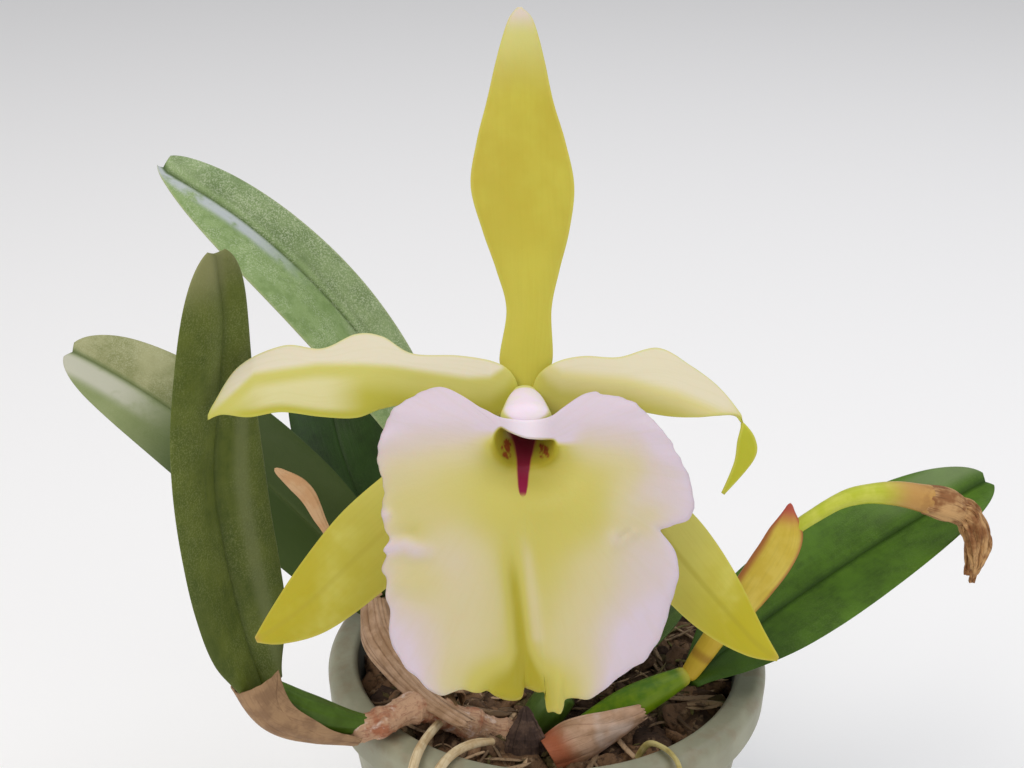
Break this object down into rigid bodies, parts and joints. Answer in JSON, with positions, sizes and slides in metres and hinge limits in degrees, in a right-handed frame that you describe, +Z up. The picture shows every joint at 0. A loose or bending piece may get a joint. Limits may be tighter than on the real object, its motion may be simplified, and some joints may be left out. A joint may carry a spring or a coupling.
{
  "type": "potted orchid",
  "caption": "Flowering potted orchid: one large green and white bloom with a ruffled lip, stiff grey-green leaves on short canes, in bark in a round plastic nursery pot.",
  "frame": {"origin": "centre of the flat underside of the pot", "axes": "+Z up along the axis of the pot; the flower faces -Y and looks 24 degrees up; +X is to the right as seen from the flower's front"},
  "size_m": [0.2374, 0.1453, 0.2534],
  "materials": {
    "pot": "grey-green moulded plastic, satin",
    "bark": "dark rough fir bark chips",
    "rhizome": "ringed woody stem, reddish brown",
    "root": "pale corky root skin",
    "green_cane": "smooth living stem, green",
    "old_cane": "old stem in dry brown skin",
    "husk": "dry papery sheath, tan with streaks",
    "leaf": "stiff leathery leaf with a grey mealy bloom",
    "spathe": "flattened green-yellow sheath with reddish edges",
    "stalk": "fleshy yellow-green stalk",
    "spent_flower": "withered flower, brown and dry",
    "sepal": "waxy sepal, olive yellow-green",
    "petal": "waxy petal, pale green blending to cream",
    "lip": "soft satin lip, lilac white over a green centre",
    "column": "smooth waxy column, pinkish white"
  },
  "bodies": {
    "root": {"pot": "pot", "bark_bed": "bark", "bark_chip": "bark", "rhizome": "rhizome", "root_left": "root", "root_front": "root", "root_right": "root", "cane_front": "green_cane", "cane_main": "green_cane", "cane_right": "green_cane", "cane_left": "old_cane", "cane_tall": "old_cane", "cane_short": "old_cane", "husk_front": "husk", "husk_left": "husk", "husk_right": "husk", "bract_dry": "husk", "leaf_tall": "leaf", "leaf_front": "leaf", "leaf_left": "leaf", "leaf_short": "leaf", "leaf_main": "leaf", "leaf_right": "leaf", "spathe_main": "spathe", "spathe_right": "spathe", "stalk_main": "stalk", "stalk_right": "stalk", "spent_flower": "spent_flower", "dorsal_sepal": "sepal", "sepal_left": "sepal", "sepal_right": "sepal", "petal_left": "petal", "petal_right": "petal", "lip": "lip", "column": "column"}
  },
  "joints": []
}
